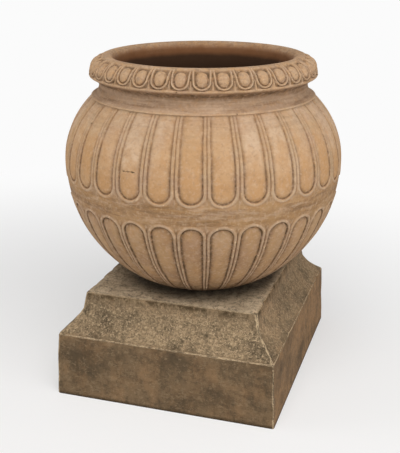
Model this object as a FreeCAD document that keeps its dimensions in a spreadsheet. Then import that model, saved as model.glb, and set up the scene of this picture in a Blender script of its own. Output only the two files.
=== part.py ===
"""Terracotta cachepot: a globular pot with rows of raised tongues and an egg moulding round its rim,
standing on a separate hollow plinth.

Millimetres, +Z up. The origin is on the ground, on the axis of the pot.
"""
import FreeCAD, Part
import math
import os

import Sketcher
from FreeCAD import Vector

doc = FreeCAD.newDocument("cachepot")

# Driving dimensions

SIZES = {
    # plinth: a block whose sides lean in, a shallow cavetto that is flatter at the sides, and a
    # leaning fillet under the top
    "plinth_width": 455,
    "plinth_depth": 524,
    "block_height": 132,
    "block_batter": 5,
    "cavetto_run": 40,
    "cavetto_rise": 45,
    "front_cavetto": 75,
    "side_cavetto": 200,
    "top_fillet": 34,
    "fillet_lean": 6,
    "plinth_wall": 28,
    "plinth_top": 30,
    "vent_hole": 50,
    # where the pot stands on the plinth, from the middle of its top
    "pot_right": 12.5,
    "pot_forward": 28,
    # pot, from its foot up
    "belly_radius": 277,
    "belly_height": 251,
    "foot_set_in": 163,
    "shoulder_set_in": 57,
    "shoulder_rise": 129,
    "string_bead": 3.5,
    "neck_set_in": 14,
    "neck_rise": 17.5,
    "neck_upright": 4,
    "rim_overhang": 19,
    "rim_undercut": 10.5,
    "rim_ease": 4.5,
    "rim_roll": 38.5,
    "lip_roll": 14.5,
    "wall_thickness": 24,
    "floor_thickness": 26,
    "drain_hole": 36,
    # tongues: raised panels in two rows round the belly, with a plain band between the rows
    "tongue_relief": 3,
    "tongue_gap": 4.5,
    "band_drop": 24,
    "plain_band": 32,
    "tongue_fade": 14,
    # eggs: oval bosses let into the rim
    "egg_width": 20,
    "egg_length": 32,
    "egg_relief": 2.5,
}

# How many there are in one turn

COUNTS = {"tongue_count": 31, "egg_count": 37}

# Degrees: how far the ornament is turned from the front, and how far the eggs lean back

TURNS = {"tongue_turn": 3.8, "egg_turn": 5.2, "egg_lean": 36}

sheet = doc.addObject("Spreadsheet::Sheet", "Sizes")
for row, (alias, value) in enumerate({**SIZES, **COUNTS, **TURNS}.items(), start=1):
    sheet.set(f"A{row}", alias)
    sheet.set(f"B{row}", str(value))
    sheet.setAlias(f"B{row}", alias)
doc.recompute()


def size(alias):
    """The value of one driving dimension, read back from the sheet."""
    return float(sheet.get(alias))


# Names for a sketch's own references

START, END, MIDDLE = range(1, 4)
H_AXIS = -1
V_AXIS = -2
ORIGIN = (H_AXIS, START)


def new_sketch(body, name, plane):
    """A sketch on one of the body's own origin planes."""
    sketch = body.newObject("Sketcher::SketchObject", name)
    support = next(feature for feature in body.Origin.OriginFeatures if feature.Role == plane)
    sketch.AttachmentSupport = [(support, "")]
    sketch.MapMode = "FlatFace"
    return sketch


def line(sketch, start, end):
    """Adds a straight edge and gives its number."""
    return sketch.addGeometry(Part.LineSegment(Vector(*start, 0), Vector(*end, 0)), False)


def arc(sketch, centre, start, end, guide=False):
    """Adds an arc that turns anticlockwise from start to end and gives its number."""
    turn = [math.atan2(point[1] - centre[1], point[0] - centre[0]) for point in (start, end)]
    circle = Part.Circle(Vector(*centre, 0), Vector(0, 0, 1), math.dist(centre, start))
    return sketch.addGeometry(Part.ArcOfCircle(circle, turn[0], turn[1]), guide)


def tie(sketch, kind, *references):
    """Adds a constraint that has no size."""
    sketch.addConstraint(Sketcher.Constraint(kind, *references))


def measure(sketch, kind, references, expression, value):
    """Adds a constraint whose size follows an expression of the sheet's values."""
    number = sketch.addConstraint(Sketcher.Constraint(kind, *references, value))
    sketch.setExpression(f"Constraints[{number}]", expression)


def join(sketch, *ends):
    """Joins pairs of edge ends: each entry is one end and the end that it meets."""
    for first, second in ends:
        tie(sketch, "Coincident", *first, *second)


def worked_out(expression):
    """The value of an expression of the sheet's values."""
    return float(sheet.evalExpression(expression))


def rectangle(body, name, less):
    """A rectangle on the ground plane, less than the plinth by that much both ways."""
    sketch = new_sketch(body, name, "XY_Plane")
    width, depth = f"Sizes.plinth_width - {less}", f"Sizes.plinth_depth - {less}"
    x, y = worked_out(width) / 2, worked_out(depth) / 2
    corners = [(-x, -y), (x, -y), (x, y), (-x, y)]
    edges = [line(sketch, corners[i], corners[(i + 1) % 4]) for i in range(4)]
    join(sketch, *[((edges[i], END), (edges[(i + 1) % 4], START)) for i in range(4)])
    for edge in edges[0::2]:
        tie(sketch, "Horizontal", edge)
    for edge in edges[1::2]:
        tie(sketch, "Vertical", edge)
    tie(sketch, "Symmetric", edges[0], START, edges[1], END, *ORIGIN)
    measure(sketch, "DistanceX", (edges[0], START, edges[0], END), width, 2 * x)
    measure(sketch, "DistanceY", (edges[1], START, edges[1], END), depth, 2 * y)
    return sketch


def pocket(body, name, sketch, length=None, upward=False):
    """Cuts a sketch into the body, to a length or through everything, and checks that it cut."""
    doc.recompute()
    before = body.Shape.Volume
    cut = body.newObject("PartDesign::Pocket", name)
    cut.Profile = sketch
    cut.Reversed = upward
    if length:
        cut.setExpression("Length", length)
    else:
        cut.Type = "ThroughAll"
        cut.Midplane = True
    doc.recompute()
    if body.Shape.Volume > before - 1:
        raise RuntimeError(f"{name} cuts nothing")
    return cut


# Plinth

PLINTH_HEIGHT = "(Sizes.block_height + Sizes.cavetto_rise + Sizes.top_fillet)"
SET_IN = "(Sizes.block_batter + Sizes.cavetto_run + Sizes.fillet_lean)"


def moulding_outline(sketch, half_run, side, hollow_radius):
    """The leaning wall, the cavetto and the fillet at one side of the plinth, seen end on.

    Gives the edge ends at the ground and at the top, and their places.
    """
    block, rise, fillet = size("block_height"), size("cavetto_rise"), size("top_fillet")
    batter, run, lean = size("block_batter"), size("cavetto_run"), size("fillet_lean")
    radius = size(hollow_radius)
    ground = (side * half_run, 0)
    arris = (side * (half_run - batter), block)
    quirk = (arris[0] - side * run, block + rise)
    top = (quirk[0] - side * lean, quirk[1] + fillet)
    half_chord = math.hypot(run, rise) / 2
    back = math.sqrt(radius ** 2 - half_chord ** 2) / (2 * half_chord)
    centre = ((arris[0] + quirk[0]) / 2 + side * rise * back, (arris[1] + quirk[1]) / 2 + run * back)
    wall = line(sketch, ground, arris)
    if side > 0:
        hollow = arc(sketch, centre, quirk, arris)
        low, high = END, START
    else:
        hollow = arc(sketch, centre, arris, quirk)
        low, high = START, END
    upright = line(sketch, quirk, top)
    join(sketch, ((wall, END), (hollow, low)), ((hollow, high), (upright, START)))

    def inward(edge, first, second, alias):
        """How far the second end lies inside the first."""
        ends = (edge, second, edge, first) if side > 0 else (edge, first, edge, second)
        measure(sketch, "DistanceX", ends, f"Sizes.{alias}", size(alias))

    inward(wall, START, END, "block_batter")
    inward(hollow, low, high, "cavetto_run")
    inward(upright, START, END, "fillet_lean")
    measure(sketch, "DistanceY", (wall, START, wall, END), "Sizes.block_height", block)
    measure(sketch, "DistanceY", (hollow, low, hollow, high), "Sizes.cavetto_rise", rise)
    measure(sketch, "DistanceY", (upright, START, upright, END), "Sizes.top_fillet", fillet)
    measure(sketch, "Radius", (hollow,), f"Sizes.{hollow_radius}", radius)
    return (wall, START), (upright, END), ground, top


def front_outline(body):
    """The whole plinth seen from the front."""
    sketch = new_sketch(body, "front_outline", "XZ_Plane")
    half = size("plinth_width") / 2
    left, right = [moulding_outline(sketch, half, side, "side_cavetto") for side in (-1, 1)]
    base = line(sketch, left[2], right[2])
    cover = line(sketch, left[3], right[3])
    join(sketch, ((base, START), left[0]), ((base, END), right[0]),
         ((cover, START), left[1]), ((cover, END), right[1]))
    tie(sketch, "Symmetric", base, START, base, END, *ORIGIN)
    tie(sketch, "Horizontal", base)
    measure(sketch, "DistanceX", (base, START, base, END), "Sizes.plinth_width", 2 * half)
    return sketch


def side_waste(body):
    """What the moulding takes away at the front and at the back, seen from the side."""
    sketch = new_sketch(body, "side_waste", "YZ_Plane")
    half = size("plinth_depth") / 2
    for side in (1, -1):
        low, high, ground, top = moulding_outline(sketch, half, side, "front_cavetto")
        corner = (ground[0], top[1])
        over = line(sketch, top, corner)
        down = line(sketch, corner, ground)
        join(sketch, (high, (over, START)), ((over, END), (down, START)), ((down, END), low))
        tie(sketch, "Horizontal", over)
        tie(sketch, "Vertical", down)
        tie(sketch, "PointOnObject", down, END, H_AXIS)
        reach = (*ORIGIN, down, END) if side > 0 else (down, END, *ORIGIN)
        measure(sketch, "DistanceX", reach, "Sizes.plinth_depth / 2", half)
    return sketch


def make_plinth():
    """A block with a moulding on its four sides, mitred at the corners, hollow from below."""
    body = doc.addObject("PartDesign::Body", "plinth")
    run = body.newObject("PartDesign::Pad", "front_run")
    run.Profile = front_outline(body)
    run.Midplane = True
    run.setExpression("Length", "Sizes.plinth_depth")
    pocket(body, "side_run", side_waste(body))

    walls = "2 * (Sizes.block_batter + Sizes.plinth_wall)"
    hollow = rectangle(body, "block_hollow_outline", walls)
    pocket(body, "block_hollow", hollow, "Sizes.block_height - Sizes.plinth_wall", upward=True)
    throat = rectangle(body, "upper_hollow_outline", f"2 * ({SET_IN} + Sizes.plinth_wall)")
    pocket(body, "upper_hollow", throat, PLINTH_HEIGHT + " - Sizes.plinth_top", upward=True)

    vent = new_sketch(body, "vent_outline", "XY_Plane")
    radius = size("vent_hole") / 2
    ring = vent.addGeometry(Part.Circle(Vector(0, 0, 0), Vector(0, 0, 1), radius), False)
    tie(vent, "Coincident", ring, MIDDLE, *ORIGIN)
    measure(vent, "Diameter", (ring,), "Sizes.vent_hole", 2 * radius)
    pocket(body, "vent", vent)

    body.setExpression("Placement.Base.x", "-Sizes.pot_right")
    body.setExpression("Placement.Base.y", "Sizes.pot_forward")
    return body


# Pot

def level_centre(widest, end):
    """Centre of the arc that is upright at the widest point and runs to the end point."""
    inward = widest[0] - end[0]
    radius = (inward ** 2 + (end[1] - widest[1]) ** 2) / (2 * inward)
    return (widest[0] - radius, widest[1])


def belly_arcs(sketch, guide=False):
    """The bare belly: one arc up from the foot and one on to the shoulder, upright where they meet."""
    widest = (size("belly_radius"), size("belly_height"))
    foot = (widest[0] - size("foot_set_in"), 0)
    shoulder = (widest[0] - size("shoulder_set_in"), widest[1] + size("shoulder_rise"))
    lower = arc(sketch, level_centre(widest, foot), foot, widest, guide)
    upper = arc(sketch, level_centre(widest, shoulder), widest, shoulder, guide)
    join(sketch, ((lower, END), (upper, START)))
    tie(sketch, "Horizontal", lower, MIDDLE, lower, END)
    tie(sketch, "Horizontal", upper, MIDDLE, lower, END)
    tie(sketch, "PointOnObject", lower, START, H_AXIS)
    measure(sketch, "DistanceX", (*ORIGIN, lower, END), "Sizes.belly_radius", widest[0])
    measure(sketch, "DistanceY", (*ORIGIN, lower, END), "Sizes.belly_height", widest[1])
    measure(sketch, "DistanceX", (lower, START, lower, END), "Sizes.foot_set_in", size("foot_set_in"))
    measure(sketch, "DistanceX", (upper, END, upper, START), "Sizes.shoulder_set_in", size("shoulder_set_in"))
    measure(sketch, "DistanceY", (upper, START, upper, END), "Sizes.shoulder_rise", size("shoulder_rise"))
    return lower, upper


def beside_belly(sketch, belly, alias, side, low, high):
    """Two arcs that follow the belly's, outside it (side 1) or inside it (side -1).

    They start at the height low. They end at the height high or, where that is a pair, at that radius.
    """
    distance = size(alias)
    widest = (size("belly_radius") + side * distance, size("belly_height"))
    centres = [sketch.Geometry[edge].Center for edge in belly]
    radii = [sketch.Geometry[edge].Radius + side * distance for edge in belly]
    start = (centres[0].x + math.sqrt(radii[0] ** 2 - (low - widest[1]) ** 2), low)
    if isinstance(high, tuple):
        end = (high[0], widest[1] + math.sqrt(radii[1] ** 2 - (high[0] - centres[1].x) ** 2))
    else:
        end = (centres[1].x + math.sqrt(radii[1] ** 2 - (high - widest[1]) ** 2), high)
    lower = arc(sketch, (centres[0].x, centres[0].y), start, widest)
    upper = arc(sketch, (centres[1].x, centres[1].y), widest, end)
    join(sketch, ((lower, END), (upper, START)), ((lower, MIDDLE), (belly[0], MIDDLE)),
         ((upper, MIDDLE), (belly[1], MIDDLE)))
    tie(sketch, "Horizontal", lower, END, belly[0], END)
    ends = (belly[0], END, lower, END) if side > 0 else (lower, END, belly[0], END)
    measure(sketch, "DistanceX", ends, f"Sizes.{alias}", distance)
    return lower, upper, start, end


def pot_outline(body):
    """Half of the pot cut through its axis: foot, belly, neck, rim, throat, inside, drain hole."""
    sketch = new_sketch(body, "pot_outline", "XZ_Plane")
    bead, set_in, rise = size("string_bead"), size("neck_set_in"), size("neck_rise")
    ease, roll, lip = size("rim_ease"), size("rim_roll"), size("lip_roll")
    floor = size("floor_thickness")
    drain = size("drain_hole") / 2
    foot = size("belly_radius") - size("foot_set_in")
    shoulder = size("belly_radius") - size("shoulder_set_in")
    string_low = (shoulder, size("belly_height") + size("shoulder_rise"))
    string_high = (shoulder, string_low[1] + 2 * bead)
    neck_low = (shoulder - set_in, string_high[1] + rise)
    neck_high = (neck_low[0], neck_low[1] + size("neck_upright"))
    rim_low = (neck_high[0] + size("rim_overhang") - ease, neck_high[1] + size("rim_undercut"))
    rim_high = (rim_low[0] + ease, rim_low[1] + ease)
    crest = (rim_high[0] - roll, rim_high[1] + roll)
    lip_low = (crest[0] - lip, crest[1] - lip)

    base = line(sketch, (drain, 0), (foot, 0))
    lower, upper = belly_arcs(sketch)
    string = arc(sketch, (shoulder, string_low[1] + bead), string_low, string_high)
    cove = arc(sketch, level_centre(neck_low, string_high), neck_low, string_high)
    upright = line(sketch, neck_low, neck_high)
    under = line(sketch, neck_high, rim_low)
    edge = arc(sketch, (rim_low[0], rim_high[1]), rim_low, rim_high)
    ovolo = arc(sketch, (crest[0], rim_high[1]), rim_high, crest)
    turn_in = arc(sketch, (crest[0], lip_low[1]), crest, lip_low)
    inner_lower, inner_upper, floor_edge, throat = beside_belly(
        sketch, (lower, upper), "wall_thickness", -1, floor, (lip_low[0],))
    mouth = line(sketch, lip_low, throat)
    inner_floor = line(sketch, floor_edge, (drain, floor))
    bore = line(sketch, (drain, floor), (drain, 0))

    join(sketch,
         ((base, END), (lower, START)), ((upper, END), (string, START)), ((string, END), (cove, END)),
         ((cove, START), (upright, START)), ((upright, END), (under, START)), ((under, END), (edge, START)),
         ((edge, END), (ovolo, START)), ((ovolo, END), (turn_in, START)), ((turn_in, END), (mouth, START)),
         ((mouth, END), (inner_upper, END)), ((inner_lower, START), (inner_floor, START)),
         ((inner_floor, END), (bore, START)), ((bore, END), (base, START)))

    # the foot with its drain hole, and the floor inside
    tie(sketch, "PointOnObject", base, START, H_AXIS)
    measure(sketch, "DistanceX", (*ORIGIN, base, START), "Sizes.drain_hole / 2", drain)
    tie(sketch, "Vertical", bore)
    tie(sketch, "Horizontal", inner_floor)
    measure(sketch, "DistanceY", (*ORIGIN, inner_floor, START), "Sizes.floor_thickness", floor)

    # the string line, the hollow neck, the rim and the throat
    tie(sketch, "Vertical", string, START, string, END)
    tie(sketch, "Vertical", string, START, string, MIDDLE)
    measure(sketch, "Radius", (string,), "Sizes.string_bead", bead)
    tie(sketch, "Horizontal", cove, START, cove, MIDDLE)
    measure(sketch, "DistanceX", (cove, START, cove, END), "Sizes.neck_set_in", set_in)
    measure(sketch, "DistanceY", (cove, END, cove, START), "Sizes.neck_rise", rise)
    tie(sketch, "Vertical", upright)
    measure(sketch, "DistanceY", (upright, START, upright, END), "Sizes.neck_upright", size("neck_upright"))
    measure(sketch, "DistanceX", (under, START, edge, END), "Sizes.rim_overhang", size("rim_overhang"))
    measure(sketch, "DistanceY", (under, START, under, END), "Sizes.rim_undercut", size("rim_undercut"))
    tie(sketch, "Vertical", edge, START, edge, MIDDLE)
    tie(sketch, "Horizontal", edge, END, edge, MIDDLE)
    measure(sketch, "Radius", (edge,), "Sizes.rim_ease", ease)
    tie(sketch, "Horizontal", ovolo, START, ovolo, MIDDLE)
    tie(sketch, "Vertical", ovolo, END, ovolo, MIDDLE)
    measure(sketch, "Radius", (ovolo,), "Sizes.rim_roll", roll)
    tie(sketch, "Vertical", turn_in, START, turn_in, MIDDLE)
    tie(sketch, "Horizontal", turn_in, END, turn_in, MIDDLE)
    measure(sketch, "Radius", (turn_in,), "Sizes.lip_roll", lip)
    tie(sketch, "Vertical", mouth)
    return sketch


def turned(body, name, outline, angle=None):
    """Turns an outline about the body's upright axis: right round, or through an angle that it is amid."""
    feature = body.newObject("PartDesign::Revolution", name)
    feature.Profile = outline
    feature.ReferenceAxis = (outline, ["V_Axis"])
    feature.Angle = 360
    if angle:
        feature.Midplane = True
        feature.setExpression("Angle", angle)
    return feature


# Ornament

WIDEST = "(Sizes.belly_radius + Sizes.tongue_relief)"
TONGUE_ANGLE = f"360 deg / Sizes.tongue_count - asin(Sizes.tongue_gap / {WIDEST})"
TONGUE_WIDTH = f"(2 * {WIDEST} * sin(180 / Sizes.tongue_count) - Sizes.tongue_gap)"
UPPER_END = "Sizes.belly_height - Sizes.band_drop"
LOWER_END = f"{UPPER_END} - Sizes.plain_band"
SHOULDER = "Sizes.belly_height + Sizes.shoulder_rise"
ROLL_RADIUS = ("(Sizes.belly_radius - Sizes.shoulder_set_in - Sizes.neck_set_in + Sizes.rim_overhang"
               " - Sizes.rim_roll)")
ROLL_HEIGHT = (f"({SHOULDER} + 2 * Sizes.string_bead + Sizes.neck_rise + Sizes.neck_upright"
               " + Sizes.rim_undercut + Sizes.rim_ease)")


def along_lower(sketch, belly, alias, side, low, high):
    """One arc that follows the lower belly's, outside it (side 1) or inside it (side -1)."""
    edge = belly[0]
    centre, radius = sketch.Geometry[edge].Center, sketch.Geometry[edge].Radius + side * size(alias)
    ends = [(centre.x + math.sqrt(radius ** 2 - (height - centre.y) ** 2), height) for height in (low, high)]
    follower = arc(sketch, (centre.x, centre.y), *ends)
    tie(sketch, "Coincident", follower, MIDDLE, edge, MIDDLE)
    level = sketch.addGeometry(Part.Point(Vector(centre.x + radius, centre.y, 0)), True)
    tie(sketch, "PointOnObject", level, START, follower)
    tie(sketch, "Horizontal", level, START, edge, END)
    reach = (edge, END, level, START) if side > 0 else (level, START, edge, END)
    measure(sketch, "DistanceX", reach, f"Sizes.{alias}", size(alias))
    return follower, follower, *ends


def tongue_layer(body, low, high, follow):
    """Section of the layer of clay that a row of tongues is cut from, half of it let into the belly."""
    sketch = new_sketch(body, body.Name + "_layer", "XZ_Plane")
    belly = belly_arcs(sketch, guide=True)
    start, end = worked_out(low), worked_out(high)
    outer_low, outer_high, outer_start, outer_end = follow(sketch, belly, "tongue_relief", 1, start, end)
    inner_low, inner_high, inner_start, inner_end = follow(sketch, belly, "tongue_relief", -1, start, end)
    bottom = line(sketch, inner_start, outer_start)
    top = line(sketch, outer_end, inner_end)
    join(sketch, ((bottom, START), (inner_low, START)), ((bottom, END), (outer_low, START)),
         ((top, START), (outer_high, END)), ((top, END), (inner_high, END)))
    tie(sketch, "Horizontal", bottom)
    tie(sketch, "Horizontal", top)
    measure(sketch, "DistanceY", (*ORIGIN, bottom, START), low, start)
    measure(sketch, "DistanceY", (*ORIGIN, top, START), high, end)
    return sketch


def round_end_waste(body, tip, up):
    """What is cut away to leave a tongue's round end, seen from outside. up: 1 where the tongue runs up."""
    sketch = new_sketch(body, body.Name + "_waste", "YZ_Plane")
    onward, back = ("+", "-") if up > 0 else ("-", "+")
    spring_height = f"{tip} {onward} {TONGUE_WIDTH} / 2"
    floor_height = f"{tip} {back} 2 * Sizes.tongue_relief"
    radius, spare = worked_out(TONGUE_WIDTH) / 2, 2 * size("tongue_relief")
    spring, beyond, reach = worked_out(spring_height), worked_out(floor_height), radius + spare
    bow = arc(sketch, (0, spring), (-up * radius, spring), (up * radius, spring))
    ledges = []
    drops = []
    for side in (-1, 1):
        ledge = line(sketch, (side * radius, spring), (side * reach, spring))
        drop = line(sketch, (side * reach, spring), (side * reach, beyond))
        join(sketch, ((bow, START if side == -up else END), (ledge, START)), ((ledge, END), (drop, START)))
        tie(sketch, "Horizontal", ledge)
        tie(sketch, "Vertical", drop)
        ledges.append(ledge)
        drops.append(drop)
    floor = line(sketch, (-reach, beyond), (reach, beyond))
    join(sketch, ((floor, START), (drops[0], END)), ((floor, END), (drops[1], END)))
    tie(sketch, "Symmetric", bow, START, bow, END, bow, MIDDLE)
    tie(sketch, "Symmetric", floor, START, floor, END, V_AXIS)
    tie(sketch, "PointOnObject", bow, MIDDLE, V_AXIS)
    tie(sketch, "Horizontal", ledges[0], START, ledges[1], START)
    measure(sketch, "Diameter", (bow,), TONGUE_WIDTH, 2 * radius)
    measure(sketch, "DistanceX", (ledges[1], START, ledges[1], END), "2 * Sizes.tongue_relief", spare)
    measure(sketch, "DistanceY", (*ORIGIN, bow, MIDDLE), spring_height, spring)
    measure(sketch, "DistanceY", (*ORIGIN, floor, START), floor_height, beyond)
    sketch.setExpression("AttachmentOffset.Base.z", "Sizes.belly_radius - 2 * Sizes.wall_thickness")
    return sketch


def all_round(body, count, turn):
    """Repeats a body about the upright axis and turns the whole ring to its place."""
    axis = next(feature for feature in body.Origin.OriginFeatures if feature.Role == "Z_Axis")
    pattern = body.newObject("PartDesign::PolarPattern", body.Name + "_ring")
    pattern.TransformMode = "Whole shape"
    pattern.Axis = (axis, [""])
    pattern.Angle = 360
    pattern.setExpression("Occurrences", f"Sizes.{count}")
    body.Tip = pattern
    body.setExpression("Placement.Rotation.Angle", f"Sizes.{turn}")
    doc.recompute()
    if len(body.Shape.Solids) != size(count):
        raise RuntimeError(f"{body.Name} has {len(body.Shape.Solids)} pieces, not {size(count)}")
    return body


def make_tongues(name, tip, up):
    """One row of tongues: raised panels that follow the belly, with one round end each."""
    body = doc.addObject("PartDesign::Body", name)
    if up > 0:
        layer = tongue_layer(body, f"{tip} - Sizes.tongue_relief", SHOULDER, beside_belly)
    else:
        layer = tongue_layer(body, "Sizes.tongue_fade", f"{tip} + Sizes.tongue_relief", along_lower)
    turned(body, name + "_panel", layer, TONGUE_ANGLE)
    pocket(body, name + "_end", round_end_waste(body, tip, up), "3 * Sizes.wall_thickness", upward=True)
    return all_round(body, "tongue_count", "tongue_turn")


def make_eggs():
    """The eggs: ovals let into the rim's roll, leaning back with it."""
    body = doc.addObject("PartDesign::Body", "eggs")
    egg = body.newObject("PartDesign::AdditiveEllipsoid", "egg")
    egg.setExpression("Radius1", "Sizes.egg_length / 2")
    egg.setExpression("Radius2", "Sizes.egg_width / 2")
    egg.setExpression("Radius3", "Sizes.egg_width / 2")
    depth = "(Sizes.rim_roll + Sizes.egg_relief - Sizes.egg_width / 2)"
    egg.Placement = FreeCAD.Placement(Vector(0, 0, 0), FreeCAD.Rotation(Vector(0, -1, 0), size("egg_lean")))
    egg.setExpression("Placement.Rotation.Angle", "Sizes.egg_lean")
    egg.setExpression("Placement.Base.x", f"{ROLL_RADIUS} + {depth} * cos(Sizes.egg_lean)")
    egg.setExpression("Placement.Base.z", f"{ROLL_HEIGHT} + {depth} * sin(Sizes.egg_lean)")
    doc.recompute()
    return all_round(body, "egg_count", "egg_turn")


def make_pot():
    """The pot, turned about its axis, with its ornament, its foot on the plinth's top."""
    body = doc.addObject("PartDesign::Body", "pot")
    turned(body, "turned_pot", pot_outline(body))
    doc.recompute()
    bare = body.Shape.Volume
    upper = make_tongues("upper_tongues", UPPER_END, 1)
    lower = make_tongues("lower_tongues", LOWER_END, -1)
    raised = body.newObject("PartDesign::Boolean", "raised_ornament")
    raised.Type = "Fuse"
    raised.setObjects([upper, lower, make_eggs()])
    doc.recompute()
    if body.Shape.Volume < bare + 1:
        raise RuntimeError("the ornament adds nothing")
    body.setExpression("Placement.Base.z", PLINTH_HEIGHT)
    return body


sub_parts = [make_plinth(), make_pot()]
doc.recompute()

# Every object has to be sound before anything is written

for item in doc.Objects:
    if "Invalid" in item.State or "Error" in item.State:
        raise RuntimeError(f"{item.Name} failed: {item.State}")
    if item.TypeId == "Sketcher::SketchObject" and not item.FullyConstrained:
        raise RuntimeError(f"sketch {item.Name} is not fully constrained")

for body in sub_parts:
    shape = body.Shape
    if shape.isNull() or not shape.isValid() or len(shape.Solids) != 1:
        raise RuntimeError(f"{body.Label} is not one sound solid")

os.makedirs("parts", exist_ok=True)
for body in sub_parts:
    body.Shape.exportStep(f"parts/{body.Label}.step")
    print(body.Label, "volume", round(body.Shape.Volume), "box", body.Shape.BoundBox)
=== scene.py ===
from math import acos, asin, atan2, copysign, cos, degrees, hypot, pi, radians, sin, sqrt
from typing import NamedTuple

import bmesh
import bpy
from bpy.props import FloatProperty, FloatVectorProperty, IntProperty, PointerProperty
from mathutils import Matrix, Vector, noise


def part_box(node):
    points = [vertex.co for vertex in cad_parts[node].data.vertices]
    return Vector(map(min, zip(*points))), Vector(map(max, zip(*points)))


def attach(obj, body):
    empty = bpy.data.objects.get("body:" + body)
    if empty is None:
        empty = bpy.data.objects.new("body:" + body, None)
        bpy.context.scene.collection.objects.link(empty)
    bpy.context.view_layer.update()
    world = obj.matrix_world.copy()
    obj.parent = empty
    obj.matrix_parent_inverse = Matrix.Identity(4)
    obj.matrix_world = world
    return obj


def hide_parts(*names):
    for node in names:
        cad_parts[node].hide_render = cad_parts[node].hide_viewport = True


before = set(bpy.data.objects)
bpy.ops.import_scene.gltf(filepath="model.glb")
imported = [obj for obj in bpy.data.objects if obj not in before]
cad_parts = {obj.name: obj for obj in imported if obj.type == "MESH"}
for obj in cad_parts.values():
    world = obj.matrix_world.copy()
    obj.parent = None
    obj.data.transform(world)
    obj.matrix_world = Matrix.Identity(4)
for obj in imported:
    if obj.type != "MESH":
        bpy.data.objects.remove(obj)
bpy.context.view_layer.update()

bl_info = {
    "name": "Terracotta cachepot",
    "version": (1, 0, 0),
    "blender": (4, 5, 0),
    "location": "3D View > Sidebar > Cachepot",
    "description": "A globular terracotta pot with carved tongues and an egg-and-dart rim, on its plinth",
    "category": "Add Mesh",
}

POT_LOW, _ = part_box("pot")
PLINTH_LOW, PLINTH_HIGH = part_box("plinth")
MM = 0.001
# corners of a level rectangle, in order from its front left
CORNERS = ((-1, -1), (1, -1), (1, 1), (-1, 1))
PAPER_WHITE = "#FBFBFB"
FLOOR_REACH = 30
AMBIENT = 0.28


def linear(code):
    """An sRGB hex colour, such as #CDA578, in the linear values that shaders take."""
    channels = [int(code[i:i + 2], 16) / 255 for i in (1, 3, 5)]
    return tuple(c / 12.92 if c <= 0.04045 else ((c + 0.055) / 1.055) ** 2.4 for c in channels)


def length(description, default):
    """A size that the user may change."""
    return FloatProperty(description=description, default=default, min=0, unit="LENGTH", precision=4)


def colour(description, code):
    """A colour that the user may change."""
    return FloatVectorProperty(description=description, default=linear(code), subtype="COLOR", min=0, max=1)


class PotSizes(bpy.types.PropertyGroup):
    """Sizes of the pot, outside the carving, in metres and in counts."""

    belly_radius: length("Radius at the widest", -POT_LOW[0] - 1 * MM)
    belly_height: length("Height of the widest above the foot", 0.251)
    foot_radius: length("Radius of the foot", 0.114)
    shoulder_radius: length("Radius under the string line", 0.2208)
    shoulder_rise: length("Height of the string line above the widest", 0.1294)
    string_bead: length("Radius of the raised line under the neck", 0.0012)
    neck_set_in: length("Depth of the neck's hollow", 0.0149)
    neck_rise: length("Height of the neck's hollow", 0.0204)
    neck_upright: length("Height of the neck's straight part", 0.0051)
    rim_overhang: length("How far the rim overhangs the neck", 0.0191)
    rim_undercut: length("Height of the slope under the rim", 0.0105)
    rim_ease: length("Radius of the rim's lower edge", 0.0047)
    rim_roll: length("Radius of the rim's outer roll", 0.0359)
    lip_roll: length("Radius of the turn into the throat", 0.0145)
    wall: length("Thickness of the wall", 0.024)
    floor: length("Thickness of the floor", 0.026)
    drain: length("Diameter of the hole in the floor", 0.036)
    band_top: length("Height of the upper tongues' round ends", 0.227)
    band_low: length("Height of the lower tongues' round ends", 0.1925)
    tongue_count: IntProperty(description="Tongues in one row", default=31, min=8)
    tongue_turn: FloatProperty(description="Turn of the first tongue from the front", default=radians(1.3),
                               subtype="ANGLE")
    egg_count: IntProperty(description="Eggs round the rim", default=37, min=8)
    egg_turn: FloatProperty(description="Turn of the first egg from the front", default=radians(-2.8),
                            subtype="ANGLE")


class PlinthSizes(bpy.types.PropertyGroup):
    """Sizes of the plinth, in metres."""

    block: length("Height of the plain block", 0.132)
    batter: length("How far the block's sides lean in", 0.005)
    run: length("How far the hollow moulding is set in", 0.04)
    rise: length("Height of the hollow moulding", 0.045)
    front_hollow: length("Depth of the moulding's hollow at the front and back", 0.0085)
    side_hollow: length("Depth of the moulding's hollow at the sides", 0.003)
    fillet: length("Height of the fillet under the top", 0.034)
    lean: length("How far the fillet leans in", 0.006)
    wall: length("Thickness of the walls and the shelf", 0.028)
    top: length("Thickness of the top", 0.03)
    vent: length("Diameter of the hole in the top", 0.05)


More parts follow.
